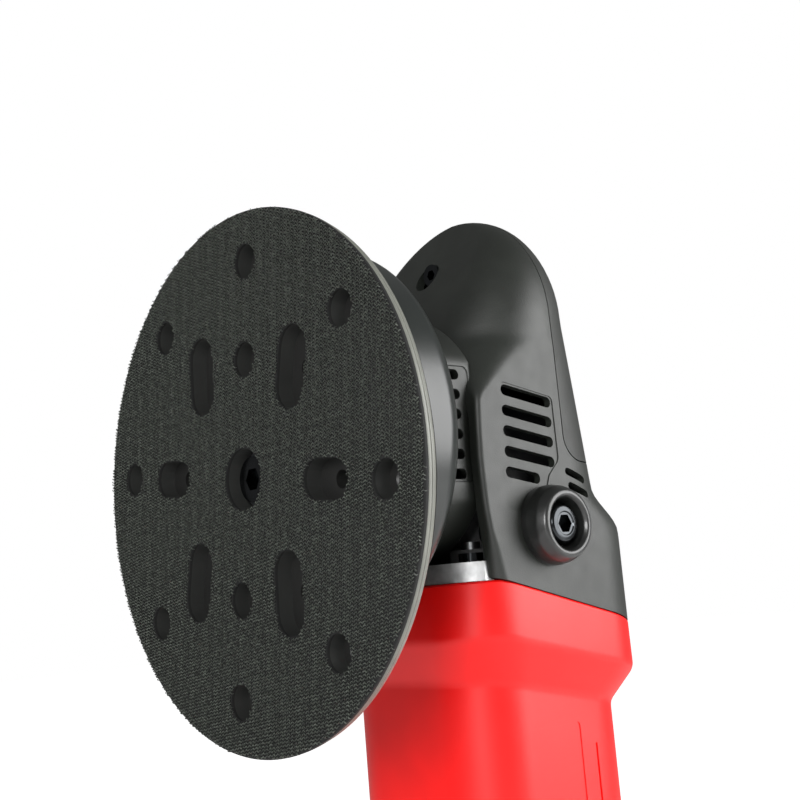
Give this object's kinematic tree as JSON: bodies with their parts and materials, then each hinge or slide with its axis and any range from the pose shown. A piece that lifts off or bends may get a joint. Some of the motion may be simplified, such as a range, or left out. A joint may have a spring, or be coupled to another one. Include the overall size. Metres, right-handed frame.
{
  "type": "dual action polisher",
  "caption": "Upright dual action polisher: round hook-faced pad on an orbiting drive, vented black head, red motor housing and rear handle with trigger.",
  "frame": {"origin": "centre of the butt's flat face, on the motor's axis", "axes": "+Z along the motor's axis towards the head, -Y the way the pad's hook face looks, +X to the right of someone facing the pad"},
  "size_m": [0.15, 0.1255, 0.4008],
  "materials": {
    "hook_tape": "woven nylon hook",
    "cushion_foam": "smooth moulded polyurethane",
    "dish_nylon": "moulded glass-filled nylon",
    "plated_steel": "zinc plated",
    "ground_steel": "ground",
    "bearing_steel": "polished",
    "black_steel": "black oxide",
    "cast_steel": "cast and machined",
    "bronze": "sintered",
    "black_casting": "black coated die casting",
    "bare_casting": "machined die casting",
    "shroud_nylon": "satin moulded",
    "black_nylon": "fine spark-eroded texture",
    "grip_rubber": "soft matte",
    "ring_rubber": "glossy moulded",
    "red_nylon": "satin moulded",
    "lamination_steel": "stacked sheet",
    "copper_wire": "varnished winding",
    "copper_bars": "turned",
    "fan_nylon": "moulded",
    "brass": "pressed",
    "carbon": "pressed graphite",
    "cap_nylon": "moulded",
    "handle_nylon": "textured moulding",
    "switch_nylon": "moulded",
    "board": "solder-masked board"
  },
  "bodies": {
    "body": {"spindle_bearing_outer": "bearing_steel", "spindle_bearing_balls": "bearing_steel", "rear_bushing": "bronze", "bearing_retainer": "plated_steel", "gear_case": "black_casting", "gear_case_screws": "plated_steel", "bearing_plate": "bare_casting", "plate_screws": "black_steel", "shroud": "shroud_nylon", "shroud_screws": "plated_steel", "vent_collar": "black_nylon", "head_cover": "black_nylon", "cover_screws": "black_steel", "back_grip": "grip_rubber", "side_rings": "ring_rubber", "side_bolts": "black_steel", "motor_housing": "red_nylon", "stator_core": "lamination_steel", "field_coils": "copper_wire", "motor_bearing_outer": "bearing_steel", "motor_bearing_balls": "bearing_steel", "baffle_ring": "fan_nylon", "brush_holders": "brass", "carbon_brushes": "carbon", "brush_springs": "plated_steel", "brush_caps": "cap_nylon", "handle_left": "handle_nylon", "handle_right": "handle_nylon", "handle_screws": "black_steel", "butt_cap": "grip_rubber", "trigger_pin": "plated_steel", "trigger_spring": "plated_steel", "switch_body": "switch_nylon", "speed_controller": "board", "cord_gland": "grip_rubber"},
    "drive": {"orbit_bearing_outer": "bearing_steel", "orbit_bearing_balls": "bearing_steel", "orbit_clip": "black_steel", "counterweight": "cast_steel", "drive_spindle": "ground_steel", "bevel_gear": "ground_steel", "gear_clip": "black_steel", "spindle_bearing_inner": "bearing_steel"},
    "pad": {"hook_face": "hook_tape", "pad_cushion": "cushion_foam", "pad_dish": "dish_nylon", "pad_insert": "cast_steel", "pad_bolt": "black_steel", "orbit_spindle": "ground_steel", "orbit_bearing_inner": "bearing_steel"},
    "armature": {"armature_shaft": "ground_steel", "armature_core": "lamination_steel", "armature_windings": "copper_wire", "commutator": "copper_bars", "cooling_fan": "fan_nylon", "pinion": "ground_steel", "motor_bearing_inner": "bearing_steel"},
    "trigger": {"trigger": "switch_nylon"},
    "lock": {"lock_button": "switch_nylon"},
    "dial": {"speed_dial": "switch_nylon"}
  },
  "joints": [
    {"name": "drive_spin", "type": "hinge", "parent": "body", "child": "drive", "pos_m": [0, -0.0865, 0.325], "axis": [0, 1, 0], "continuous": true},
    {"name": "pad_spin", "type": "hinge", "parent": "drive", "child": "pad", "pos_m": [0, -0.0865, 0.3145], "axis": [0, 1, 0], "continuous": true},
    {"name": "armature_spin", "type": "hinge", "parent": "body", "child": "armature", "pos_m": [0, 0, 0.325], "axis": [0, 0, 1], "continuous": true},
    {"name": "trigger_pull", "type": "hinge", "parent": "body", "child": "trigger", "pos_m": [0, -0.019, 0.099], "axis": [1, 0, 0], "range_deg": [0, 7], "stiffness_Nm_per_rad": 1, "springref_deg": -5.73, "deforming": ["trigger_spring"]},
    {"name": "lock_press", "type": "slide", "parent": "body", "child": "lock", "axis": [1, 0, 0], "range_m": [0, 0.0025], "stiffness_N_per_m": 400, "springref_m": -0.001},
    {"name": "dial_turn", "type": "hinge", "parent": "body", "child": "dial", "pos_m": [0, 0.0158, 0.117], "axis": [1, 0, 0], "range_deg": [0, 300]}
  ],
  "couplings": [
    {"joint": "armature_spin", "follows": "drive_spin", "ratio": -3.1667}
  ]
}
